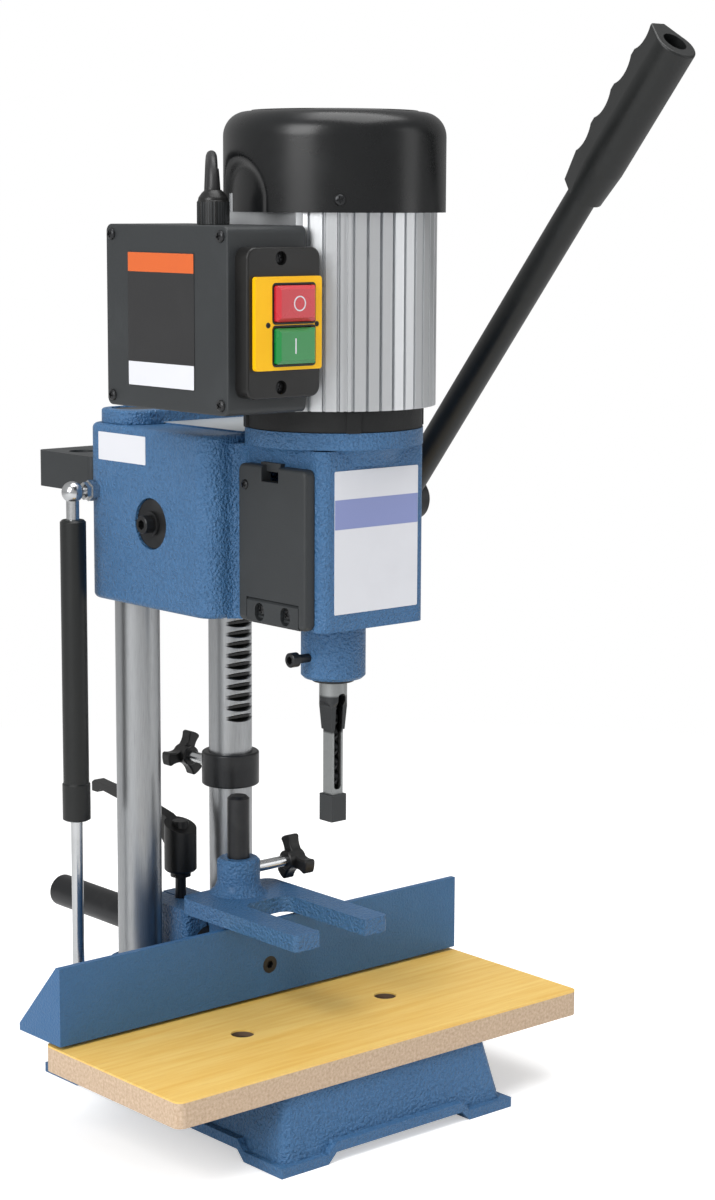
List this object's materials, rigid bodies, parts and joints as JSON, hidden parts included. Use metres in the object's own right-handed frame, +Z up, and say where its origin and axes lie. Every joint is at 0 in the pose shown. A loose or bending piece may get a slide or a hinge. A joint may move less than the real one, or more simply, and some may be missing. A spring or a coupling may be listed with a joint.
{
  "type": "benchtop mortiser",
  "caption": "Benchtop hollow-chisel mortiser: lever-fed motor head on twin columns over a table with an adjustable fence and hold-down fork.",
  "frame": {"origin": "bench plane, midway between the four bench-bolt holes under the base", "axes": "+Z up along the columns, +X to the operator's right (lever side), +Y to the back"},
  "size_m": [0.36, 0.5155, 0.7434],
  "materials": {
    "blue_paint": "hammered gloss",
    "cast_iron_paint": "hammered paint",
    "black_iron": "satin black",
    "black_steel": "blackened",
    "bright_steel": "ground",
    "black_paint": "satin",
    "aluminium": "as extruded",
    "black_plastic": "matt moulded",
    "gloss_black": "gloss",
    "yellow_plastic": "gloss",
    "red_plastic": "gloss",
    "green_plastic": "gloss",
    "board": "wood-print laminate on fibreboard",
    "bronze": "machined",
    "copper_iron": "laminated iron and copper",
    "rubber": "matt"
  },
  "bodies": {
    "base": {"base_casting": "cast_iron_paint", "table_board": "board", "table_screws": "black_steel", "column_left": "bright_steel", "column_right_rack": "bright_steel", "gas_spring_rod": "bright_steel", "lower_ball_stud": "bright_steel", "mains_coil": "rubber", "mains_plug": "rubber"},
    "head": {"head_casting": "cast_iron_paint", "top_cover": "blue_paint", "top_cover_screws": "black_steel", "gas_spring_tube": "black_paint", "gas_spring_socket": "bright_steel", "upper_ball_stud": "bright_steel", "tool_holder": "black_plastic", "nose_bush": "bright_steel", "chisel_lock_screw": "black_steel", "mortise_chisel": "bright_steel", "chisel_cap": "black_plastic", "motor_flange": "black_iron", "motor_housing": "aluminium", "stator": "copper_iron", "motor_bearings": "bright_steel", "motor_cap": "gloss_black", "cover_screws": "black_steel", "junction_box": "black_plastic", "box_lid": "black_plastic", "start_capacitor": "black_plastic", "switch_housing": "black_plastic", "switch_bezel": "yellow_plastic", "switch_screws": "black_steel", "cable_gland": "black_plastic", "mains_lead": "rubber", "door_hinge_block": "black_plastic", "hinge_screws": "black_steel", "shaft_bushes": "bronze"},
    "spindle": {"rotor_shaft": "bright_steel", "cooling_fan": "black_plastic", "drill_chuck": "bright_steel", "auger_bit": "bright_steel"},
    "feed_lever": {"pinion_shaft": "black_steel", "end_disc": "black_steel", "end_bolt": "black_steel", "lever_hub": "black_steel", "lever_tube": "black_paint", "lever_grip": "black_plastic"},
    "chuck_door": {"chuck_door": "black_plastic"},
    "stop_button": {"stop_button": "red_plastic"},
    "start_button": {"start_button": "green_plastic"},
    "fence": {"fence_casting": "cast_iron_paint", "fence_rod": "black_steel", "fence_screw": "black_steel", "hold_down_post": "black_steel"},
    "fence_clamp": {"fence_clamp_stud": "black_steel", "fence_clamp_lever": "black_plastic"},
    "hold_down": {"hold_down_fork": "cast_iron_paint"},
    "hold_down_knob": {"hold_down_knob": "black_plastic"},
    "stop_collar": {"stop_collar": "black_steel"},
    "stop_knob": {"stop_knob": "black_plastic"}
  },
  "joints": [
    {"name": "head_slide", "type": "slide", "parent": "base", "child": "head", "axis": [0, 0, -1], "range_m": [0, 0.0735], "deforming": ["mains_lead"]},
    {"name": "lever_turn", "type": "hinge", "parent": "head", "child": "feed_lever", "pos_m": [0.16, 0.0464, 0.4085], "axis": [1, 0, 0], "range_deg": [0, 99.1]},
    {"name": "spindle_spin", "type": "hinge", "parent": "head", "child": "spindle", "pos_m": [0, -0.064, 0.5], "axis": [0, 0, -1], "continuous": true},
    {"name": "door_hinge", "type": "hinge", "parent": "head", "child": "chuck_door", "pos_m": [-0.0503, -0.0641, 0.354], "axis": [0, -1, 0], "range_deg": [0, 110]},
    {"name": "stop_press", "type": "slide", "parent": "head", "child": "stop_button", "axis": [0, 1, 0], "range_m": [0, 0.003], "stiffness_N_per_m": 600, "springref_m": -0.002},
    {"name": "start_press", "type": "slide", "parent": "head", "child": "start_button", "axis": [0, 1, 0], "range_m": [0, 0.003], "stiffness_N_per_m": 600, "springref_m": -0.002},
    {"name": "fence_slide", "type": "slide", "parent": "base", "child": "fence", "axis": [0, -1, 0], "range_m": [-0.015, 0.055]},
    {"name": "fence_clamp_turn", "type": "hinge", "parent": "base", "child": "fence_clamp", "pos_m": [0, 0.109, 0.15], "axis": [0, 0, 1], "range_deg": [0, 55]},
    {"name": "hold_down_slide", "type": "slide", "parent": "fence", "child": "hold_down", "axis": [0, 0, 1], "range_m": [0, 0.04]},
    {"name": "hold_down_knob_turn", "type": "hinge", "parent": "hold_down", "child": "hold_down_knob", "pos_m": [0.03, 0.04, 0.1525], "axis": [1, 0, 0], "range_deg": [0, 360]},
    {"name": "stop_collar_slide", "type": "slide", "parent": "base", "child": "stop_collar", "axis": [0, 0, 1], "range_m": [-0.1, 0.045]},
    {"name": "stop_knob_turn", "type": "hinge", "parent": "stop_collar", "child": "stop_knob", "pos_m": [0.042, 0.1414, 0.212], "axis": [0, 1, 0], "range_deg": [0, 360]}
  ],
  "couplings": [
    {"joint": "lever_turn", "follows": "head_slide", "rad_per_m": 23.529}
  ]
}
